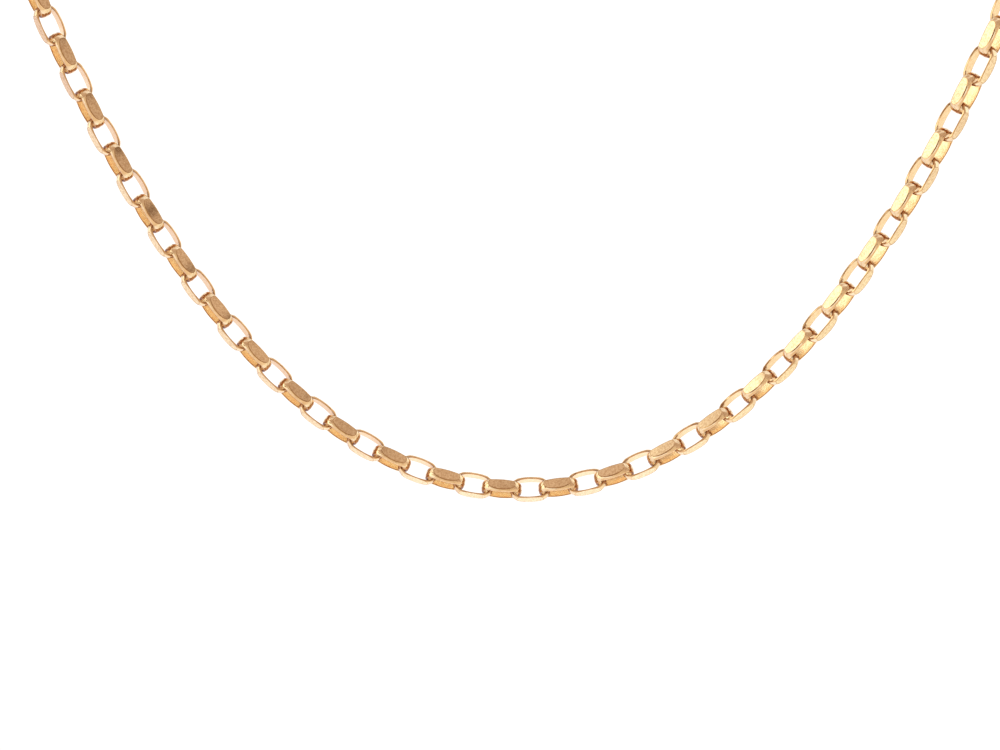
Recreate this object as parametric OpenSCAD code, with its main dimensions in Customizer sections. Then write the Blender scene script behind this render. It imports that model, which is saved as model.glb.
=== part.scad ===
// Necklace of diamond-cut oval rolo links, held as it is worn.
// Millimetres, +Z up. The origin is on the chain's line at the nape of the neck,
// and the front of the necklace hangs in a plane that faces -Y.

/* [Link] */
// Outer length of one link
link_l = 4.18; // [4:0.01:4.8]
// Width of a link across its rounded crown, before its facets are cut
crown_d = 2.7; // [2.65:0.01:3]
// Width of a link across its two flat facets
facet_d = 2.44; // [2.4:0.01:2.55]
// Width of the band that a link is bent from
band_w = 1.3; // [1:0.01:1.34]
// Width of the hole through a link
hole_w = 2.02; // [1.96:0.01:2.1]
// Thickness of the band at the two ends of a link
end_t = 0.2; // [0.18:0.01:0.27]
// Turn of both facets about the chain's length
facet_turn = 6; // [0:0.5:7]
// Play along the chain between two links
link_play = 0.28; // [0.26:0.01:0.4]

/* [Hang] */
// Radius of the hanging curve at its lowest point
sag_r = 28.4; // [28:0.1:40]
// Length of chain that hangs in the front plane on each side
drop_l = 82; // [70:1:110]
// Radius of the turn at each side of the neck
side_r = 30; // [28:1:45]
// Straight run behind each turn, which gives or takes up to one link to close the loop
side_run = 4; // [3.5:0.1:40]
// Turn of the upright links about the chain's length, away from straight ahead
lay_turn = 38.5; // [0:0.5:45]
// Extra turn from each link to the next one on its right, over the hanging front
lay_twist = 0.12; // [0:0.01:0.2]
// Distance along the chain from the lowest point to the middle link's centre
middle_shift = 1.1; // [-1.5:0.1:1.5]

/* [Clasp] */
// Outer diameter of the clasp's ring
ring_d = 6; // [5:0.1:9]
// Thickness of the ring's wire
ring_wire = 1.2; // [0.8:0.1:1.4]
// Outer diameter of the small eye beside the ring
eye_d = 3.2; // [3.1:0.1:4.5]
// Thickness of the eye's wire
eye_wire = 0.7; // [0.5:0.1:0.7]
// Gap between an end link's edges and the ring or eye that it seats in
seat_gap = 0.15; // [0.13:0.01:0.18]

/* [Hidden] */
$fn = 32;
GOLD = [0.93, 0.76, 0.5];
QUARTER = PI / 2;

// The room that two crossing bands leave each other
corner_sink = hole_w / 2 - sqrt(pow(hole_w / 2, 2) - pow(band_w / 2, 2));
lap = 2 * corner_sink + link_play;
pitch = link_l - 2 * end_t - lap;
reach = link_l / 2 - end_t;

// The clasp, along the chain
ring_mid_r = (ring_d - ring_wire) / 2;
eye_mid_r = (eye_d - eye_wire) / 2;
ring_seat = seat(ring_mid_r - ring_wire / 2);
eye_seat = seat(eye_mid_r - eye_wire / 2);
clasp_span = 2 * reach + ring_seat + eye_seat + ring_mid_r + eye_mid_r;

// The loop: a hanging curve, a turn back at each side of the neck, a straight run and a half round
drop_x = sag_r * asinh(drop_l / sag_r);
drop_z = hang_height(drop_l);
side_turn = atan2(drop_l, sag_r);
nape_r = drop_x + side_r * cos(side_turn);
wanted_l = 2 * (drop_l + side_r * QUARTER + side_run + nape_r * QUARTER);
side_links = 2 * round((wanted_l - clasp_span) / (4 * pitch));
loop_l = 2 * side_links * pitch + clasp_span;
front_links = floor(drop_l / pitch);
run_l = side_run + (loop_l - wanted_l) / 2;
run_start = drop_l + side_r * QUARTER;
nape_start = run_start + run_l;
nape_y = side_r + run_l + nape_r;
nape_z = drop_z + side_r * sin(side_turn);

function asinh(v) = ln(v + sqrt(v * v + 1));

function hang_height(s) = sqrt(sag_r * sag_r + s * s) - sag_r;

// How far from the centre of a round hole a band's inner face lies when its edges clear the hole
function seat(hole_r) = sqrt(pow(hole_r - seat_gap, 2) - pow(band_w / 2, 2));

// Direction along the chain where the front stretch ends, and the direction square to it
function rise() = [cos(side_turn), 0, sin(side_turn)];
function inward() = [-sin(side_turn), 0, cos(side_turn)];

// A place on the right half at a distance from the lowest point: its point, direction and inner side
function hang_place(s) =
    let (turn = atan2(s, sag_r))
    [[sag_r * asinh(s / sag_r), 0, hang_height(s)],
     [cos(turn), 0, sin(turn)],
     [-sin(turn), 0, cos(turn)]];

function side_place(turn) =
    [[drop_x, 0, drop_z] + side_r * (sin(turn) * rise() + (1 - cos(turn)) * [0, 1, 0]),
     cos(turn) * rise() + sin(turn) * [0, 1, 0],
     inward()];

function run_place(along) =
    [[nape_r, side_r + along, nape_z], [0, 1, 0], inward()];

function nape_place(turn) =
    [[nape_r * cos(turn), side_r + run_l + nape_r * sin(turn), nape_z],
     [-sin(turn), cos(turn), 0],
     [-sin(side_turn) * cos(turn), -sin(side_turn) * sin(turn), cos(side_turn)]];

function right_place(s) =
    s < drop_l ? hang_place(s) :
    s < run_start ? side_place((s - drop_l) / side_r * 180 / PI) :
    s < nape_start ? run_place(s - run_start) :
    nape_place((s - nape_start) / nape_r * 180 / PI);

// The left half mirrors the right one, and the loop closes at the nape
function place(s) =
    s > loop_l / 2 ? place(s - loop_l) :
    s >= 0 ? right_place(s) :
    let (p = right_place(-s))
    [[-p[0].x, p[0].y, p[0].z],
     [p[1].x, -p[1].y, -p[1].z],
     [-p[2].x, p[2].y, p[2].z]];

// Sets its children on the loop, X along the chain, with Y turned about it from the inner side
module on_loop(s, turn) {
    p = place(s);
    out = cross(p[1], p[2]);
    at = p[0] - [0, nape_y, nape_z];
    multmatrix([for (k = [0 : 2]) [p[1][k], p[2][k], out[k], at[k]]])
        rotate([turn, 0, 0]) children();
}

// A flat shape with round ends along X
module slot(length, width) {
    straight = length - width;
    square([straight, width], center = true);
    for (side = [-1, 1])
        translate([side * straight / 2, 0])
            circle(d = width);
}

// The round-ended bar whose skin is a link's domed outside
module crown() {
    rotate([0, 90, 0])
        rotate_extrude()
            intersection() {
                rotate(90) slot(link_l, crown_d);
                translate([0, -link_l]) square(2 * link_l);
            }
}

module link() {
    difference() {
        intersection() {
            crown();
            cube([2 * link_l, 2 * crown_d, band_w], center = true);
            rotate([-facet_turn, 0, 0])
                cube([2 * link_l, facet_d, 2 * crown_d], center = true);
        }
        linear_extrude(height = 2 * band_w, center = true)
            slot(2 * reach, hole_w);
    }
}

// Every second link is turned a quarter, and the even ones show their hole to the front
module links(first, last) {
    for (i = [first : last]) {
        twist = lay_twist * max(-front_links, min(front_links, i));
        on_loop(middle_shift + i * pitch, (i % 2 == 0 ? 0 : 90) - lay_turn - twist)
            link();
    }
}

module round_ring(mid_r, wire) {
    rotate_extrude()
        translate([mid_r, 0])
            circle(d = wire);
}

module chain_left() {
    color(GOLD) links(-side_links, -1);
}

module chain_right() {
    color(GOLD) links(0, side_links);
}

// The end link on the right passes through the eye, and the one on the left through the ring
module clasp() {
    ring_x = clasp_span / 2 - reach - ring_seat;
    color(GOLD)
        on_loop(loop_l / 2 + middle_shift, 90 - lay_turn) {
            translate([ring_x, 0, 0]) round_ring(ring_mid_r, ring_wire);
            translate([ring_x - ring_mid_r - eye_mid_r, 0, 0]) round_ring(eye_mid_r, eye_wire);
        }
}

chain_left();
chain_right();
clasp();
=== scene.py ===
"""The looks of the rolo chain necklace: finer links where the CAD links are, gold, studio and camera.

Lengths are millimetres until MM turns them into Blender's metres, apart from names that end in _M.
The axes are the CAD model's: the nape is the origin, the hanging front faces -Y and Z points up.
"""

import math
import random

import bmesh
import bpy
from mathutils import Matrix, Vector

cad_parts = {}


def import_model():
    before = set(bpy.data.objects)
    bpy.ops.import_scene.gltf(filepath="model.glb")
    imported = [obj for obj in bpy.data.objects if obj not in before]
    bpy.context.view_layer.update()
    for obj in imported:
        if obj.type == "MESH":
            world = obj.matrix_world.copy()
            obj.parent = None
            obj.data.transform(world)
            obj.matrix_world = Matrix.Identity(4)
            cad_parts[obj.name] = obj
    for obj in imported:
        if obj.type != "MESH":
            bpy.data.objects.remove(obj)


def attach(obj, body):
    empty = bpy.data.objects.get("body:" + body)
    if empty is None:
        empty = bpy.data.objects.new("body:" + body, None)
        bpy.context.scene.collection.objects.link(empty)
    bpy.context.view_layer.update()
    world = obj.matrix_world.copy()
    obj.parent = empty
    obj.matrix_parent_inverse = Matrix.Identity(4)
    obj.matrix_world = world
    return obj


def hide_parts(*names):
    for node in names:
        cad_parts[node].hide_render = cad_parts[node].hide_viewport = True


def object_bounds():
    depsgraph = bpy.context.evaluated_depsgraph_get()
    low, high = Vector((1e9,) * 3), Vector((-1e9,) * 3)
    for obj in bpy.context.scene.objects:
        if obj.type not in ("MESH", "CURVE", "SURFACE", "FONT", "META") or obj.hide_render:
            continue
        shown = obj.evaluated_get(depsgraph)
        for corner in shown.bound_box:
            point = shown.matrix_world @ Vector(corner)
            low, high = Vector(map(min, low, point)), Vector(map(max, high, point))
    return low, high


MM = 0.001

# One link: X along it, Y across it, Z along the width of its band. Its sides, its facets, the edges
# of its band and the sides of its hole are bowed, each by a radius of its own.
LINK_L = 4.33
CROWN_R = 1.335
SIDE_R = 6.6
FACET_Y = 1.16
FACET_TURN = math.radians(9.3)
FACET_BOW_R = 40.0
BAND_W = 1.37
WIDTH_BOW_R = 11.0
END_T = 0.315
HOLE_R = 0.965
HOLE_SIDE_R = 6.0

# Rounded edges. The one along the hole has a profile, as shares of its depth and height, from the hole's
# wall to the band's flat side.
CORNER_R = 0.06
HOLE_EDGE_DEPTH = 0.025
HOLE_EDGE_HEIGHT = 0.08
HOLE_EDGE_PROFILE = ((0, 1), (0.08, 0.55), (0.35, 0.2), (1, 0))

# The bevel round a facet: width, most that it takes of the facet's height on each side, depth at the
# facet's middle, and where along the link that depth ends
BEVEL_W = 0.056
BEVEL_MOST = 0.45
BEVEL_DEPTH = 0.037
BEVEL_END_X = 1.3
# Height to length of a facet's oval, and how far along it the slant of its outline still widens the bevel
FACET_ROUND = 0.45
SLANT_END = 0.99

# The mesh of a link: directions in which its band is cut, strips of the dome above and below a facet, and
# extra directions near a facet's ends, as shares of the slant at which it ends
STATIONS = 40
DOME_STRIPS = 2
TIP_STEPS = (0.9, 0.955, 0.985, 1.0001)
# Points that lie closer than this are merged
MERGE = 0.0008

# Looks of a link's faces, which are also the numbers of their materials
DOME, FACET, INSIDE, EDGE, BEVEL, ROUNDED, TIP_SHADE = range(7)
# Looks that meet without a crease
SMOOTH_PAIRS = ({DOME, ROUNDED}, {INSIDE, ROUNDED}, {DOME, TIP_SHADE}, {ROUNDED, TIP_SHADE}, {INSIDE, TIP_SHADE})
# Where a facet's end takes its bevel's darker gold, painted shade, as shares of the slant at which it ends,
# and where along the link its skin has a ring of painted shadow, near the tips where links cross
TIP_SLANTS = (0.95, 1.01)
TIP_SHADE_RING = (1.88, 2.06)

# Searches by halving: how far from a link's centre for its skin and hole and for a facet, and up to which
# slant for a facet's end. Directions that go less than NO_FACET_Y sideways meet no facet.
SKIN_FAR = 3
FACET_FAR = 9
SLANT_MOST = 3
NO_FACET_Y = 0.2
HALVINGS = 40

# Sizes of the CAD link that set how the clasp seats in it: half the hole's length, and the band's width
CAD_REACH = 1.89
CAD_BAND_W = 1.3

# The loop that the links lie on: distance between links, radius of the hanging curve at its lowest point,
# length of chain that hangs on each side, radius of the turn at each side of the neck, and the straight run
# behind it
PITCH = 3.026
SAG_R = 28.4
DROP_L = 82.0
SIDE_TURN_R = 30.0
SIDE_RUN = 4.0
# Turn of the links about the chain: the odd ones, which show a facet, and the even ones, which show
# their hole, and the extra turn from each link to the next one on its right
LAY_TURN = math.radians(38.5)
EVEN_LAY_TURN = math.radians(36.5)
LAY_TWIST = math.radians(0.12)
# Distance along the chain from the lowest point to the middle link's centre
MIDDLE_SHIFT = 1.1
# Play that the links have taken up along the chain: link number and shift where it changes its trend
SLACK = ((-36, 0), (-20, -0.04), (-12, -0.02), (-2, 0.14), (10, -0.09), (17, -0.02), (30, 0))

# Small turns of each link about the chain and aside, and the seed of the middle link's: real links are
# never all turned alike
ROLL_SPREAD = math.radians(1.2)
YAW_SPREAD = math.radians(0.6)
MIDDLE_SEED = 500

# The clasp's ring and eye, the gap that an end link's edges leave in each, and the steps round each and
# round its wire
RING_D = 6.0
RING_WIRE = 1.2
EYE_D = 3.2
EYE_WIRE = 0.7
SEAT_GAP = 0.15
RING_STEPS = 72
WIRE_STEPS = 24

# The gold of each look: pale and deep tone, roughness, grain of the tone, grain and height of the uneven
# skin, and how open a place is where it is all painted shade brown and where it has none. The looks are lit
# and shaded copies of one gold: the insides are paler, painted light, and the edges, bevels and tips are
# darker, painted shade.
DOME_GOLD = ((0.94, 0.74, 0.49), (0.84, 0.62, 0.39), 0.13, 0.4, 0.3, 0.0022, 0.5, 0.96)
FACET_GOLD = ((1.0, 0.8, 0.54), (0.76, 0.54, 0.33), 0.1, 0.2, 0.16, 0.0008, 0.4, 0.87)
# Paler than the dome: painted light on the insides of the links
INSIDE_LIT_GOLD = ((1.0, 0.84, 0.55), (0.98, 0.69, 0.4), 0.2, 0.3, 0.2, 0.016, 0.2, 0.62)
# Darker than the dome: painted shade for the dark lines along the band's edges
EDGE_SHADE_GOLD = ((0.9, 0.64, 0.38), (0.78, 0.52, 0.29), 0.1, 0.4, 0.2, 0.001, 0.5, 0.96)
# Darker still: painted shade for the dark line round each facet
BEVEL_SHADE_GOLD = ((0.62, 0.38, 0.18), (0.5, 0.29, 0.13), 0.12, 0.4, 0.2, 0.001, 0.5, 0.96)
# Darkest: painted shadow for the ring near each tip, where the links cross
TIP_SHADE_GOLD = ((0.48, 0.21, 0.085), (0.38, 0.16, 0.06), 0.14, 0.4, 0.3, 0.002, 0.5, 0.96)
# Painted shade: brown put into the narrow places between links, where shade falls, and how far round a
# place is looked for others
PAINTED_SHADE_BROWN = (0.2, 0.055, 0.015)
PAINTED_SHADE_MM = 0.5
PAINTED_SHADE_SAMPLES = 8
# Noise in the gold, as detail and roughness: in tone and gloss, and in the uneven skin
TONE_NOISE = (4.0, 0.6)
SKIN_NOISE = (3.0, 0.55)
# Levels of the noise between which tone and gloss change, scale of the gloss, and its span as parts of the
# roughness
TONE_LEVELS = (0.38, 0.62)
GLOSS_LEVELS = (0.3, 0.7)
GLOSS_PER_M = 1500.0
GLOSS_LOW = 0.75
GLOSS_HIGH = 1.35

# Tones of the studio's tent, of the dull arch over the camera's side, and of what is near the camera
TENT_WHITE = (1.2, 1.2, 1.2)
TENT_SHADE = (1.02, 1.02, 1.02)
STREAK_TONE = (0.8, 0.63, 0.5)
THING_TONE = (0.24, 0.13, 0.06)
ARCH_TONE = (0.73, 0.55, 0.42)
ARCH_SHADE = (0.6, 0.44, 0.33)
ARCH_DARK = (0.16, 0.09, 0.05)
WARM = (0.82, 0.66, 0.48)
# Patches in the studio, as noise: scale, detail, and the levels where a patch starts and where it is full
SHADE_PATCHES = (5.0, 3.0, 0.4, 0.6)
STREAKS = (5.0, 4.0, 0.57, 0.62)
THINGS = (6.0, 2.0, 0.6, 0.63)
DARK_PATCHES = (11.0, 2.0, 0.63, 0.65)
# Borders in the studio, as the direction's Y where each stretch starts and where it is full
ARCH_BORDER = (-0.08, -0.17)
NEAR_CAMERA = (-0.7, -0.86)
BEHIND_CHAIN = (0.03, 0.08)
# The arch reaches over the top from the right and ends this far round on the left, with a soft border
ARCH_END = math.radians(142)
ARCH_SOFT = 0.03
# Round spots of light or shade: azimuth from the camera's side, elevation, half width and softness in
# degrees, and tone. The dark things behind the chain lie over those on the left and under the other two.
LEFT_SPOTS = (
    (-72, 22, 34, 5, (1.6, 1.6, 1.38)),  # a bright side
    (-58, 20, 7, 2, (0.3, 0.21, 0.14)),  # a dull slit in it
    (-50, 18, 8, 3, (0.34, 0.19, 0.1)),  # a dark spot beside the slit
)
OTHER_SPOTS = (
    (105, 22, 24, 6, (1.3, 1.3, 1.2)),  # a light on the right
    (-125, 68, 12, 8, (0.66, 0.49, 0.37)),  # a dull spot overhead
)

# The floor is a light table: how far it lies below the lowest link, its half size, and its glow at the
# middle and outside, with the distances between which it fades
FLOOR_BELOW_M = 0.35
FLOOR_HALF_M = 6.0
GLOW_MIDDLE = 1.14
GLOW_OUTSIDE = 1.02
GLOW_FADE_M = (0.12, 0.36)
TABLE_GREY = (0.1, 0.1, 0.1)
TABLE_ROUGH = 0.9
# Tones of its stretches, which the chain's lower sides mirror
FLOOR_WHITE = (1, 1, 1)
RIGHT_TONE = (0.98, 0.96, 0.82)
LEFT_TONE = (0.96, 0.94, 0.95)
BEHIND_MIDDLE = (0.95, 0.86, 0.85)
BEHIND_RIGHT = (0.87, 0.8, 0.69)
BEHIND_LEFT = (0.79, 0.69, 0.74)
# Borders of those stretches, in metres, as where each starts and where it is full
LEFT_BORDER_M = (-0.1, -0.22)
RIGHT_BORDER_M = (0.12, 0.3)
NEAR_BORDER_M = (0.45, 0.25)
FRONT_BORDER_M = (-0.28, -0.4)
# Slanted borders, with the direction across each. The first is folded about both axes: past it the camera
# sees the floor, and the stretch behind the chain ends before it.
VIEW_ACROSS = (-0.45, 1, 0)
VIEW_BORDER_M = (0.44, 0.38)
BEHIND_ACROSS = (0.15, 1, 0)
BEHIND_BORDER_M = (0.07, 0.13)
FRONT_ACROSS = (0.88, -0.47, 0)
FRONT_SLANT_M = (-0.2, 0.05)

# Camera, as fitted to the photo: the point in the plane of the hanging front that it aims at, its distance
# from there, its angles and its lens
AIM_X = -1.948
AIM_ABOVE_LOWEST = 12.587
CAMERA_FAR = 218.4
CAMERA_UP = math.radians(16.492)
CAMERA_ASIDE = math.radians(-2.864)
CAMERA_TILT = math.radians(-0.159)
LENS_MM = 75.6
SENSOR_MM = 36.0
CLIP_NEAR_M = 0.01
CLIP_FAR_M = 20.0


class Loop:
    """The closed line of the necklace, from the lowest point of its front."""

    def __init__(self):
        half_w = CAD_BAND_W / 2
        quarter = math.pi / 2
        self.ring_r = (RING_D - RING_WIRE) / 2
        self.eye_r = (EYE_D - EYE_WIRE) / 2
        ring_seat = math.sqrt((self.ring_r - RING_WIRE / 2 - SEAT_GAP) ** 2 - half_w**2)
        eye_seat = math.sqrt((self.eye_r - EYE_WIRE / 2 - SEAT_GAP) ** 2 - half_w**2)
        clasp_span = 2 * CAD_REACH + ring_seat + eye_seat + self.ring_r + self.eye_r
        self.ring_x = clasp_span / 2 - CAD_REACH - ring_seat
        self.turn = math.atan2(DROP_L, SAG_R)
        self.drop_x = SAG_R * math.asinh(DROP_L / SAG_R)
        self.drop_z = math.hypot(SAG_R, DROP_L) - SAG_R
        self.nape_r = self.drop_x + SIDE_TURN_R * math.cos(self.turn)
        wanted = 2 * (DROP_L + SIDE_TURN_R * quarter + SIDE_RUN + self.nape_r * quarter)
        self.side_links = 2 * round((wanted - clasp_span) / (4 * PITCH))
        self.length = 2 * self.side_links * PITCH + clasp_span
        self.run = SIDE_RUN + (self.length - wanted) / 2
        self.run_start = DROP_L + SIDE_TURN_R * quarter
        self.nape_start = self.run_start + self.run
        self.nape_y = SIDE_TURN_R + self.run + self.nape_r
        self.nape_z = self.drop_z + SIDE_TURN_R * math.sin(self.turn)
        self.front_links = math.floor(DROP_L / PITCH)

    def link_at(self, i):
        """Distance along the loop to link number i: even steps, and the slack that the links have taken."""
        slack = 0
        for (i0, slack0), (i1, slack1) in zip(SLACK, SLACK[1:]):
            if i0 <= i < i1:
                slack = slack0 + (slack1 - slack0) * (i - i0) / (i1 - i0)
        return MIDDLE_SHIFT + i * PITCH + slack

    def right(self, s):
        """Point, direction and inner side on the right half."""
        rise = Vector((math.cos(self.turn), 0, math.sin(self.turn)))
        inward = Vector((-math.sin(self.turn), 0, math.cos(self.turn)))
        back = Vector((0, 1, 0))
        if s < DROP_L:
            a = math.atan2(s, SAG_R)
            point = Vector((SAG_R * math.asinh(s / SAG_R), 0, math.hypot(SAG_R, s) - SAG_R))
            return point, Vector((math.cos(a), 0, math.sin(a))), Vector((-math.sin(a), 0, math.cos(a)))
        if s < self.run_start:
            a = (s - DROP_L) / SIDE_TURN_R
            swing = math.sin(a) * rise + (1 - math.cos(a)) * back
            point = Vector((self.drop_x, 0, self.drop_z)) + SIDE_TURN_R * swing
            return point, math.cos(a) * rise + math.sin(a) * back, inward
        if s < self.nape_start:
            return Vector((self.nape_r, SIDE_TURN_R + s - self.run_start, self.nape_z)), back, inward
        a = (s - self.nape_start) / self.nape_r
        point_y = self.nape_y - self.nape_r * (1 - math.sin(a))
        point = Vector((self.nape_r * math.cos(a), point_y, self.nape_z))
        along = Vector((-math.sin(a), math.cos(a), 0))
        side = -math.sin(self.turn)
        return point, along, Vector((side * math.cos(a), side * math.sin(a), math.cos(self.turn)))

    def place(self, s, turn):
        """Matrix, in metres, that sets a piece on the loop with X along it, turned about it."""
        if s > self.length / 2:
            s -= self.length
        point, along, inner = self.right(abs(s))
        if s < 0:
            point = Vector((-point.x, point.y, point.z))
            along = Vector((along.x, -along.y, -along.z))
            inner = Vector((-inner.x, inner.y, inner.z))
        out = along.cross(inner)
        at = (point - Vector((0, self.nape_y, self.nape_z))) * MM
        axes = Matrix((along, inner, out)).transposed().to_4x4()
        return Matrix.Translation(at) @ axes @ Matrix.Rotation(turn, 4, "X")


def root(func, low, high):
    """Where func, negative at low and positive at high, passes zero."""
    for _ in range(HALVINGS):
        mid = (low + high) / 2
        if func(mid) < 0:
            low = mid
        else:
            high = mid
    return (low + high) / 2


def bowed_oval(x, half_l, half_w, side_r):
    """Half the width at x of an oval with round ends and bowed sides."""
    x = abs(x)
    end_r = (half_l**2 - 2 * half_w * side_r + half_w**2) / (2 * half_l - 2 * side_r)
    end_x = half_l - end_r
    if x <= side_r * end_x / (side_r - end_r):
        return half_w - side_r + math.sqrt(side_r**2 - x * x)
    return math.sqrt(max(end_r**2 - (x - end_x) ** 2, 0))


def skin_reach(cx, cy, z):
    """How far the domed skin lies from the centre along a direction in the plane at height z."""

    def outside(r):
        if abs(r * cx) >= LINK_L / 2:
            return 1
        return math.hypot(r * cy, z) - bowed_oval(r * cx, LINK_L / 2, CROWN_R, SIDE_R)

    return root(outside, 0, SKIN_FAR)


def hole_reach(cx, cy):
    """How far the hole's wall lies from the centre along a direction."""
    half_l = LINK_L / 2 - END_T

    def outside(r):
        if abs(r * cx) >= half_l:
            return 1
        return abs(r * cy) - bowed_oval(r * cx, half_l, HOLE_R, HOLE_SIDE_R)

    return root(outside, 0, SKIN_FAR)


def facet_y(x, z, side, depth=0.0):
    """Y of the facet's face on one side of the link, or of one that lies deeper except at its ends."""
    bow = FACET_BOW_R - math.sqrt(FACET_BOW_R**2 - x * x)
    depth *= max(0, 1 - (x / BEVEL_END_X) ** 2)
    return side * (FACET_Y - depth - bow) / math.cos(FACET_TURN) + z * math.tan(FACET_TURN)


def facet_reach(cx, cy, z, depth=0.0):
    """How far that face lies from the centre along a direction at height z."""
    if abs(cy) < NO_FACET_Y:
        return FACET_FAR
    side = math.copysign(1, cy)
    return root(lambda r: side * (r * cy - facet_y(r * cx, z, side, depth)), 0, FACET_FAR)


def facet_above_skin(cx, cy, z, depth=0.0):
    """How far the facet's face lies outside the skin, negative where it cuts the skin."""
    return facet_reach(cx, cy, z, depth) - skin_reach(cx, cy, z)


def outer_reach(cx, cy, z):
    """How far the outside, domed or cut by a facet, lies from the centre."""
    return min(skin_reach(cx, cy, z), facet_reach(cx, cy, z))


def band_half(x):
    """Half the band's width at a distance along the link: its two edges are slightly bowed."""
    return BAND_W / 2 - x * x / (2 * WIDTH_BOW_R)


def facet_middle(side):
    """Height at which the facet on one side cuts deepest."""
    return -side * CROWN_R * math.sin(FACET_TURN)


def facet_span(cx, cy, half, depth=0.0):
    """Lowest and highest z that the facet, or the foot of its bevel, reaches along a direction."""
    middle = facet_middle(math.copysign(1, cy))
    limit = half - CORNER_R / 2

    def above(z):
        return facet_above_skin(cx, cy, z, depth)

    if abs(cy) < NO_FACET_Y or above(middle) >= 0:
        return middle, middle
    high = limit if above(limit) < 0 else root(above, middle, limit)
    low = -limit if above(-limit) < 0 else root(above, middle, -limit)
    return low, high


def facet_tip():
    """Slant, as x for y = 1, of the direction in which a facet comes to its end."""
    middle = facet_middle(1)
    return root(lambda slant: facet_above_skin(slant, 1, middle), 0, SLANT_MOST)


def outline_slant(along):
    """How much longer a step across the facet's outline is along Z, at a share of the way to its end."""
    along = min(along, SLANT_END)
    return math.hypot(1, FACET_ROUND * along / math.sqrt(1 - along**2))


def station_directions(tip):
    """Directions in which the band is cut, in order round the link."""
    directions = []
    for k in range(STATIONS):
        u = 2 * math.pi * (k + 0.5) / STATIONS
        directions.append((LINK_L / 2 * math.cos(u), CROWN_R * math.sin(u)))
    for side in (-1, 1):
        directions += [(end * tip * near, side) for end in (-1, 1) for near in TIP_STEPS]
    return sorted(directions, key=lambda d: math.atan2(d[1], d[0]))


def hole_edge(hole, outer, half):
    """The rounded edge between the hole's wall and the band's flat side, as reaches and heights."""
    deep = min(HOLE_EDGE_DEPTH, (outer - hole) / 2)
    return [(hole + deep * u, half - HOLE_EDGE_HEIGHT * v) for u, v in HOLE_EDGE_PROFILE]


def dome_steps(start, end):
    """Heights of the dome's strips, without the last one's end."""
    return [start + (end - start) * j / DOME_STRIPS for j in range(DOME_STRIPS)]


def band_ring(cx, cy, tip):
    """Points round the band where a direction cuts it, each with the look of the strip that it starts."""
    hole = hole_reach(cx, cy)
    half = band_half(cx * outer_reach(cx, cy, BAND_W / 2))
    upper, lower = outer_reach(cx, cy, half), outer_reach(cx, cy, -half)
    above, below = (BEVEL if facet_above_skin(cx, cy, z) < 0 else ROUNDED for z in (half, -half))
    top = half - CORNER_R / 2
    low, high = facet_span(cx, cy, half)
    foot_low, foot_high = facet_span(cx, cy, half, BEVEL_DEPTH)
    bevel = min(BEVEL_W * outline_slant(abs(cx / cy) / tip), BEVEL_MOST * (high - low))

    outside = [(z, DOME) for z in dome_steps(top, foot_high)]
    outside += [(foot_high, BEVEL), (high - bevel, FACET), (low + bevel, BEVEL)]
    outside += [(z, DOME) for z in dome_steps(foot_low, -top)] + [(-top, below)]

    upper_edge = hole_edge(hole, upper, half)
    ring = [(hole, -half + HOLE_EDGE_HEIGHT, INSIDE)]
    ring += [(reach, z, above) for reach, z in upper_edge[:-1]] + [(*upper_edge[-1], EDGE)]
    ring += [(upper - min(CORNER_R, (upper - hole) / 2), half, above)]
    ring += [(outer_reach(cx, cy, z), z, look) for z, look in outside]
    ring += [(lower - min(CORNER_R, (lower - hole) / 2), -half, EDGE)]
    ring += [(reach, -z, below) for reach, z in hole_edge(hole, lower, half)[:0:-1]]
    return [(Vector((reach * cx, reach * cy, z)) * MM, look) for reach, z, look in ring]


def face_look(look, face, at_tip):
    """The look of a face: a facet's ends take its bevel's painted shade, and the skin has a ring of painted
    shadow near each tip.
    """
    # A facet's ends take the bevel's darker gold, painted shade
    if at_tip and look == FACET:
        return BEVEL
    # Painted shadow: a dark ring on the skin near each tip
    if look in (DOME, ROUNDED) and TIP_SHADE_RING[0] < abs(face.calc_center_median().x) / MM < TIP_SHADE_RING[1]:
        return TIP_SHADE
    return look


def link_mesh():
    """The link that all others copy."""
    tip = facet_tip()
    directions = station_directions(tip)
    slants = [abs(x / y) for x, y in directions]
    rings = [band_ring(x / math.hypot(x, y), y / math.hypot(x, y), tip) for x, y in directions]
    bm = bmesh.new()
    verts = [[bm.verts.new(point) for point, _ in ring] for ring in rings]
    for k, ring in enumerate(verts):
        after = (k + 1) % len(verts)
        low, high = sorted((slants[k], slants[after]))
        at_tip = low > TIP_SLANTS[0] * tip and high < TIP_SLANTS[1] * tip
        for j, (_, look) in enumerate(rings[k]):
            nxt = (j + 1) % len(ring)
            face = bm.faces.new((ring[j], verts[after][j], verts[after][nxt], ring[nxt]))
            face.material_index = face_look(look, face, at_tip)
            face.smooth = True
    bmesh.ops.remove_doubles(bm, verts=bm.verts, dist=MERGE * MM)
    bmesh.ops.dissolve_degenerate(bm, dist=MERGE * MM, edges=bm.edges)
    bmesh.ops.recalc_face_normals(bm, faces=bm.faces)
    for edge in bm.edges:
        looks = {face.material_index for face in edge.link_faces}
        edge.smooth = len(looks) < 2 or looks in SMOOTH_PAIRS
    mesh = bpy.data.meshes.new("link")
    bm.to_mesh(mesh)
    bm.free()
    return mesh


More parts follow.
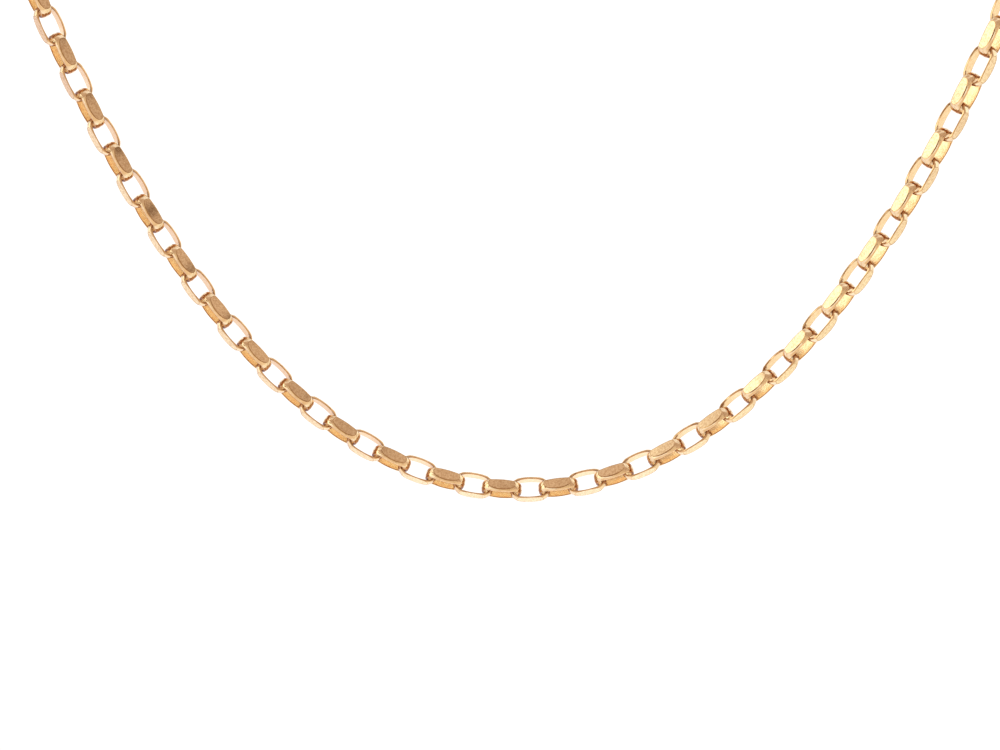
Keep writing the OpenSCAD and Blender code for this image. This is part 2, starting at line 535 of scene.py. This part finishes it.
def round_ring(bm, matrix, mid_r, wire):
    """A ring of round wire about Z, set in its place."""
    grid = []
    for i in range(RING_STEPS):
        a = 2 * math.pi * i / RING_STEPS
        row = []
        for j in range(WIRE_STEPS):
            b = 2 * math.pi * j / WIRE_STEPS
            r = mid_r + wire / 2 * math.cos(b)
            point = Vector((r * math.cos(a), r * math.sin(a), wire / 2 * math.sin(b))) * MM
            row.append(bm.verts.new(matrix @ point))
        grid.append(row)
    for i, row in enumerate(grid):
        following = grid[(i + 1) % RING_STEPS]
        for j in range(WIRE_STEPS):
            nxt = (j + 1) % WIRE_STEPS
            bm.faces.new((row[j], following[j], following[nxt], row[nxt])).smooth = True


def new_object(name, bm, materials):
    """An object in the scene, with its mesh and materials."""
    mesh = bpy.data.meshes.new(name)
    bm.to_mesh(mesh)
    bm.free()
    for material in materials:
        mesh.materials.append(material)
    obj = bpy.data.objects.new(name, mesh)
    bpy.context.scene.collection.objects.link(obj)
    return obj


def chain(name, loop, template, first, last, materials):
    """One half of the chain: every second link turned a quarter, each a little out of true."""
    bm = bmesh.new()
    for i in range(first, last + 1):
        wobble = random.Random(i + MIDDLE_SEED)
        twist = LAY_TWIST * max(-loop.front_links, min(loop.front_links, i))
        turn = -EVEN_LAY_TURN if i % 2 == 0 else math.pi / 2 - LAY_TURN
        turn += wobble.uniform(-ROLL_SPREAD, ROLL_SPREAD) - twist
        matrix = loop.place(loop.link_at(i), turn)
        matrix = matrix @ Matrix.Rotation(wobble.uniform(-YAW_SPREAD, YAW_SPREAD), 4, "Z")
        have = len(bm.verts)
        bm.from_mesh(template)
        bm.verts.ensure_lookup_table()
        bmesh.ops.transform(bm, matrix=matrix, verts=bm.verts[have:])
    return new_object(name, bm, materials)


def ring_clasp(loop, material):
    """The clasp's ring and the small eye soldered to it."""
    bm = bmesh.new()
    at = loop.place(loop.length / 2 + MIDDLE_SHIFT, math.pi / 2 - LAY_TURN)
    eye_x = loop.ring_x - loop.ring_r - loop.eye_r
    for x, mid_r, wire in ((loop.ring_x, loop.ring_r, RING_WIRE), (eye_x, loop.eye_r, EYE_WIRE)):
        round_ring(bm, at @ Matrix.Translation((x * MM, 0, 0)), mid_r, wire)
    return new_object("ring_clasp", bm, [material])


def towards(azimuth, elevation):
    """Unit vector: azimuth 0 is the camera's side, and more is to its right."""
    a, e = math.radians(azimuth), math.radians(elevation)
    return Vector((math.sin(a) * math.cos(e), -math.cos(a) * math.cos(e), math.sin(e)))


class Nodes:
    """Short calls for a node tree. A colour is given as red, green and blue or as a socket."""

    def __init__(self, tree):
        self.tree = tree
        tree.nodes.clear()

    def add(self, kind, **values):
        node = self.tree.nodes.new(kind)
        for key, value in values.items():
            setattr(node, key, value)
        return node

    def link(self, source, target):
        self.tree.links.new(source, target)

    def feed(self, node, **inputs):
        """Sets or links inputs by name; two underscores in a name stand for a space."""
        for key, value in inputs.items():
            socket = node.inputs[key.replace("__", " ")]
            if isinstance(value, bpy.types.NodeSocket):
                self.link(value, socket)
            else:
                socket.default_value = value
        return node

    def noise(self, coords, scale, detail, rough=0.5):
        """Noise from nothing to one."""
        node = self.add("ShaderNodeTexNoise")
        self.feed(node, Vector=coords, Scale=scale, Detail=detail, Roughness=rough)
        return node.outputs["Fac"]

    def spread(self, value, from_low, from_high, to_low, to_high):
        """A value, held between two limits, on a new scale."""
        node = self.add("ShaderNodeMapRange")
        limits = {"From__Min": from_low, "From__Max": from_high, "To__Min": to_low, "To__Max": to_high}
        self.feed(node, Value=value, **limits)
        return node.outputs["Result"]

    def ramp(self, value, start, full):
        """Nothing up to the start of a border, and one from where it is full."""
        return self.spread(value, start, full, 0.0, 1.0)

    def patches(self, coords, scale, detail, start, full):
        """One within patches of noise and nothing outside them."""
        return self.ramp(self.noise(coords, scale, detail), start, full)

    def split(self, vector):
        """The X and Y of a vector."""
        node = self.add("ShaderNodeSeparateXYZ")
        self.link(vector, node.inputs[0])
        return node.outputs["X"], node.outputs["Y"]

    def vector_math(self, operation, vector, output):
        node = self.add("ShaderNodeVectorMath", operation=operation)
        self.link(vector, node.inputs[0])
        return node.outputs[output]

    def dot(self, vector, fixed):
        value = self.vector_math("DOT_PRODUCT", vector, "Value")
        value.node.inputs[1].default_value = fixed
        return value

    def times(self, one, two):
        node = self.add("ShaderNodeMath", operation="MULTIPLY")
        self.link(one, node.inputs[0])
        self.link(two, node.inputs[1])
        return node.outputs["Value"]

    def mix(self, factor, one, two):
        node = self.add("ShaderNodeMix", data_type="RGBA")
        self.link(factor, node.inputs[0])
        for socket, value in ((node.inputs[6], one), (node.inputs[7], two)):
            if isinstance(value, bpy.types.NodeSocket):
                self.link(value, socket)
            else:
                socket.default_value = (*value, 1)
        return node.outputs[2]

    def add_spots(self, direction, colour, spots):
        """A colour with round spots in some directions."""
        for azimuth, elevation, wide, soft, tone in spots:
            start, full = math.cos(math.radians(wide + soft)), math.cos(math.radians(wide - soft))
            inside = self.ramp(self.dot(direction, towards(azimuth, elevation)), start, full)
            colour = self.mix(inside, colour, tone)
        return colour

    def show(self, shader, output, kind="ShaderNodeOutputMaterial"):
        """Links a shader to the tree's output node."""
        self.link(shader.outputs[output], self.add(kind).inputs["Surface"])


def gold(name, pale, deep, rough, grain_mm, skin_mm, skin_height, shut, clear):
    """Polished gold: tone and gloss drift, the skin is finely uneven, and shut places get painted shade in
    brown.
    """
    material = bpy.data.materials.new(name)
    material.use_nodes = True
    n = Nodes(material.node_tree)
    coords = n.add("ShaderNodeTexCoord").outputs["Object"]
    tone = n.noise(coords, 1.0 / (grain_mm * MM), *TONE_NOISE)
    colour = n.mix(n.ramp(tone, *TONE_LEVELS), pale, deep)
    painted_shade = n.add("ShaderNodeAmbientOcclusion", samples=PAINTED_SHADE_SAMPLES)
    painted_shade.inputs["Distance"].default_value = PAINTED_SHADE_MM * MM
    # Painted shade: the tone turns brown where the occlusion finds other links close by
    colour = n.mix(n.ramp(painted_shade.outputs["AO"], clear, shut), colour, PAINTED_SHADE_BROWN)
    gloss = n.noise(coords, GLOSS_PER_M, *TONE_NOISE)
    gloss = n.spread(gloss, *GLOSS_LEVELS, rough * GLOSS_LOW, rough * GLOSS_HIGH)
    height = n.noise(coords, 1.0 / (skin_mm * MM), *SKIN_NOISE)
    bump = n.feed(n.add("ShaderNodeBump"), Strength=1.0, Distance=skin_height * MM, Height=height)
    shader = n.add("ShaderNodeBsdfPrincipled")
    n.feed(shader, Base__Color=colour, Metallic=1.0, Roughness=gloss, Normal=bump.outputs["Normal"])
    n.show(shader, "BSDF")
    return material


def studio_world():
    """A white tent, dull over the camera's side, with spots and dark things that the gold mirrors."""
    world = bpy.data.worlds.new("studio")
    world.use_nodes = True
    n = Nodes(world.node_tree)
    direction = n.add("ShaderNodeTexCoord").outputs["Generated"]
    _, y = n.split(direction)
    shade = n.patches(direction, *SHADE_PATCHES)

    tent = n.mix(shade, TENT_WHITE, TENT_SHADE)
    tent = n.mix(n.patches(direction, *STREAKS), tent, STREAK_TONE)
    tent = n.add_spots(direction, tent, LEFT_SPOTS)
    things = n.times(n.ramp(y, *BEHIND_CHAIN), n.patches(direction, *THINGS))
    tent = n.mix(things, tent, THING_TONE)
    tent = n.add_spots(direction, tent, OTHER_SPOTS)

    arch = n.mix(shade, ARCH_TONE, ARCH_SHADE)
    arch = n.mix(n.ramp(y, *NEAR_CAMERA), arch, WARM)
    arch = n.mix(n.patches(direction, *DARK_PATCHES), arch, ARCH_DARK)

    end_side = Vector((math.sin(ARCH_END), 0, -math.cos(ARCH_END)))
    short_of_end = n.ramp(n.dot(direction, end_side), -ARCH_SOFT, ARCH_SOFT)
    in_arch = n.times(n.ramp(y, *ARCH_BORDER), short_of_end)
    background = n.add("ShaderNodeBackground")
    n.feed(background, Color=n.mix(in_arch, tent, arch), Strength=1.0)
    n.show(background, "Background", "ShaderNodeOutputWorld")
    bpy.context.scene.world = world


def floor_tone(n, place):
    """White in the camera's view, and tinted where only the chain mirrors the floor."""
    x, y = n.split(place)
    on_left = n.ramp(x, *LEFT_BORDER_M)
    on_right = n.ramp(x, *RIGHT_BORDER_M)
    near = n.ramp(y, *NEAR_BORDER_M)
    tone = n.mix(n.times(on_right, near), FLOOR_WHITE, RIGHT_TONE)
    tone = n.mix(n.times(on_left, near), tone, LEFT_TONE)

    folded = n.vector_math("ABSOLUTE", place, "Vector")
    unseen = n.ramp(n.dot(folded, VIEW_ACROSS), *VIEW_BORDER_M)
    past_chain = n.ramp(n.dot(place, BEHIND_ACROSS), *BEHIND_BORDER_M)
    behind = n.mix(on_left, n.mix(on_right, BEHIND_MIDDLE, BEHIND_RIGHT), BEHIND_LEFT)
    tone = n.mix(n.times(unseen, past_chain), tone, behind)

    before_chain = n.ramp(y, *FRONT_BORDER_M)
    right_of_slant = n.ramp(n.dot(place, FRONT_ACROSS), *FRONT_SLANT_M)
    return n.mix(n.times(before_chain, right_of_slant), tone, WARM)


def pale_floor(lowest):
    """A light table far below the hanging chain, brightest at its middle."""
    material = bpy.data.materials.new("light_table")
    material.use_nodes = True
    n = Nodes(material.node_tree)
    place = n.add("ShaderNodeTexCoord").outputs["Object"]
    distance = n.vector_math("LENGTH", place, "Value")
    glow = n.spread(distance, *GLOW_FADE_M, GLOW_MIDDLE, GLOW_OUTSIDE)
    shader = n.add("ShaderNodeBsdfPrincipled")
    n.feed(shader, Base__Color=(*TABLE_GREY, 1), Roughness=TABLE_ROUGH)
    n.feed(shader, Emission__Color=floor_tone(n, place), Emission__Strength=glow)
    n.show(shader, "BSDF")
    bm = bmesh.new()
    bmesh.ops.create_grid(bm, x_segments=1, y_segments=1, size=FLOOR_HALF_M)
    floor = new_object("floor", bm, [material])
    floor.location.z = lowest - FLOOR_BELOW_M


def photo_camera(loop):
    """The camera, in its place before the hanging front."""
    up, aside, tilt = CAMERA_UP, CAMERA_ASIDE, CAMERA_TILT
    forward = Vector((math.sin(aside) * math.cos(up), math.cos(aside) * math.cos(up), -math.sin(up)))
    level = Vector((math.cos(aside), -math.sin(aside), 0))
    upright = level.cross(forward)
    right = math.cos(tilt) * level + math.sin(tilt) * upright
    above = -math.sin(tilt) * level + math.cos(tilt) * upright
    aim = Vector((AIM_X, -loop.nape_y, AIM_ABOVE_LOWEST - loop.nape_z))
    eye = (aim - CAMERA_FAR * forward) * MM
    data = bpy.data.cameras.new("camera")
    data.lens = LENS_MM
    data.sensor_width = SENSOR_MM
    data.clip_start = CLIP_NEAR_M
    data.clip_end = CLIP_FAR_M
    camera = bpy.data.objects.new("camera", data)
    camera.matrix_world = Matrix.Translation(eye) @ Matrix((right, above, -forward)).transposed().to_4x4()
    bpy.context.scene.collection.objects.link(camera)
    bpy.context.scene.camera = camera


def main():
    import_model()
    cad_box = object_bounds()
    bpy.context.scene.view_settings.view_transform = "Standard"

    dome = gold("gold_dome", *DOME_GOLD)
    facet = gold("gold_facet", *FACET_GOLD)
    # Painted light: the inside gold is paler
    inside = gold("gold_inside_lit", *INSIDE_LIT_GOLD)
    # Painted shade: the edge gold is darker, also on the rounded edges
    edge = gold("gold_edge_shade", *EDGE_SHADE_GOLD)
    # Painted shade: the bevel gold is darker
    bevel = gold("gold_bevel_shade", *BEVEL_SHADE_GOLD)
    # Painted shadow: the tip gold is the darkest
    tip = gold("gold_tip_shade", *TIP_SHADE_GOLD)
    # In the order of the looks: the rounded edges have the flat ones' gold
    materials = [dome, facet, inside, edge, bevel, edge, tip]

    loop = Loop()
    template = link_mesh()
    left = chain("links_left", loop, template, -loop.side_links, -1, materials)
    right = chain("links_right", loop, template, 0, loop.side_links, materials)
    bpy.data.meshes.remove(template)
    clasp = ring_clasp(loop, dome)
    for piece, node in ((left, "chain_left"), (right, "chain_right"), (clasp, "clasp")):
        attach(piece, "root")
        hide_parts(node)
        print(piece.name, "triangles:", sum(len(face.vertices) - 2 for face in piece.data.polygons))

    studio_world()
    pale_floor(cad_box[0].z)
    photo_camera(loop)
    bpy.context.view_layer.update()


main()
